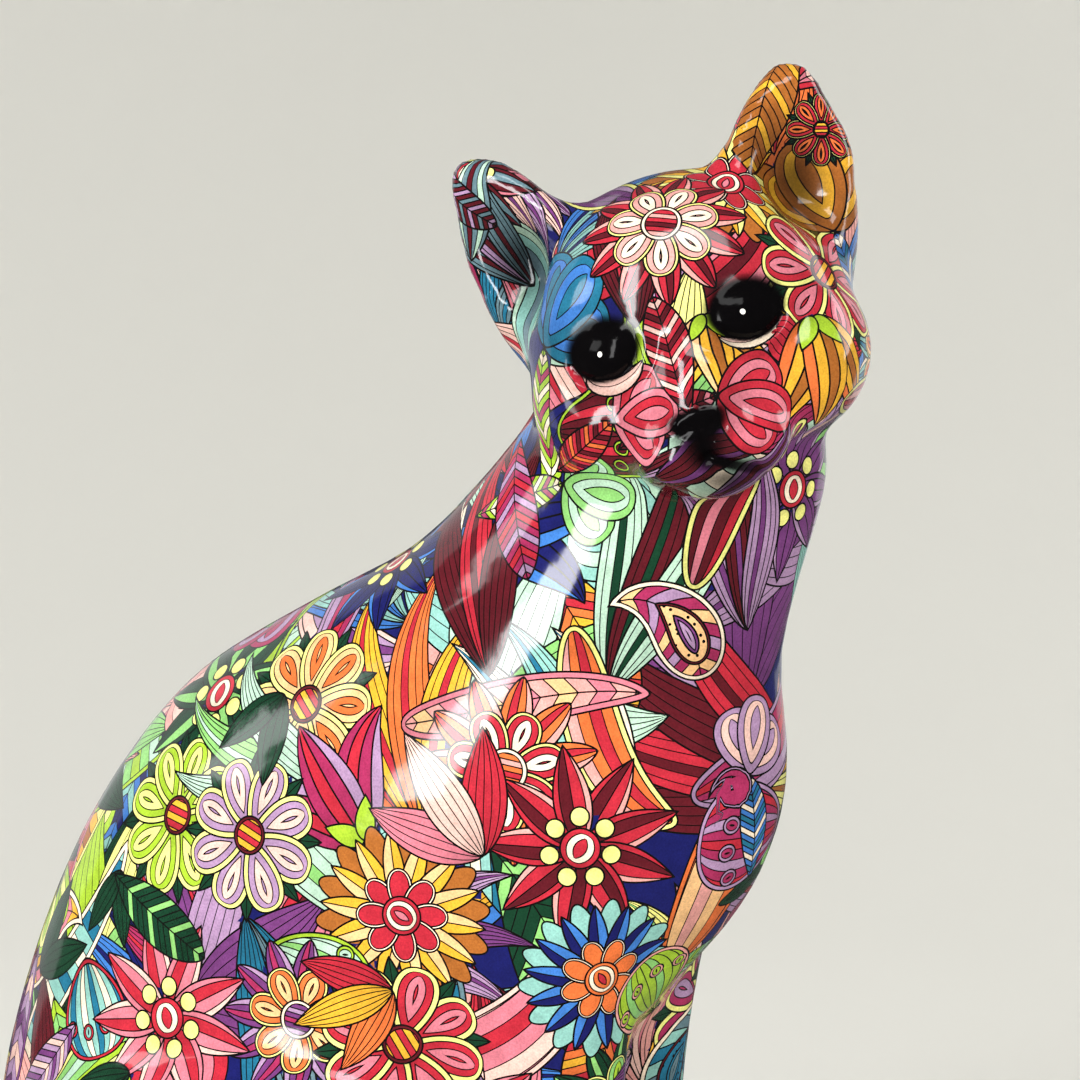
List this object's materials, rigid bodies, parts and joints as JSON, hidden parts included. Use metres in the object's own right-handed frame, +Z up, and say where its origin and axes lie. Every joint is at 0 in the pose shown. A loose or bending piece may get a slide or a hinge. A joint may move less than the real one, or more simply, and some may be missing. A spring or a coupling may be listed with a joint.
{
  "type": "papier-mache cat",
  "caption": "Slim sitting papier-mache cat ornament, head turned to its right, tail round its feet, flat underside.",
  "frame": {"origin": "centre of the bounding box on the flat underside, where the cat meets the table", "axes": "+Z up; the body faces -Y, its right side is at -X, and the head looks towards -X"},
  "size_m": [0.148, 0.2292, 0.3573],
  "materials": {
    "lacquered_print": "printed paper under thick clear gloss lacquer"
  },
  "bodies": {
    "root": {"cat": "lacquered_print"}
  },
  "joints": []
}
